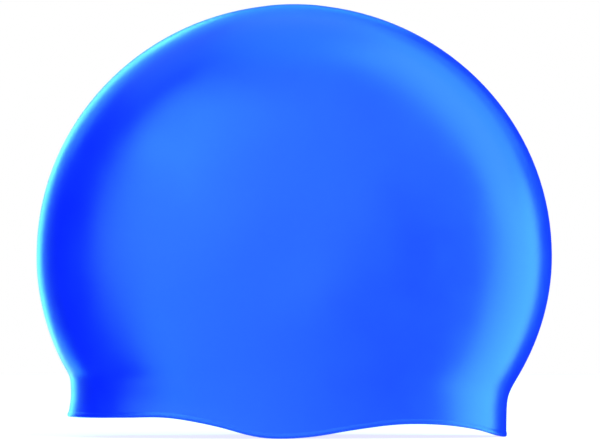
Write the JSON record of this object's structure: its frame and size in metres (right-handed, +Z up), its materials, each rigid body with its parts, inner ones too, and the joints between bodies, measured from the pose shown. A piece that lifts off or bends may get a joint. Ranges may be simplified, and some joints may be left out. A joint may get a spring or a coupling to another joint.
{
  "type": "swim cap",
  "caption": "Plain moulded silicone swim cap: a hollow dome that draws in to a short neck and ends in a wavy beaded rim, lower at the ears and the nape.",
  "frame": {"origin": "on the surface that the cap stands on, below the middle of its length and depth", "axes": "+X towards the nape, -X towards the brow, -Y towards the wearer's left side, +Y towards the wearer's right side, +Z up to the crown"},
  "size_m": [0.1962, 0.076, 0.1643],
  "materials": {
    "silicone": "matte moulded silicone, even royal blue all through"
  },
  "bodies": {
    "root": {"cap_shell": "silicone"}
  },
  "joints": []
}
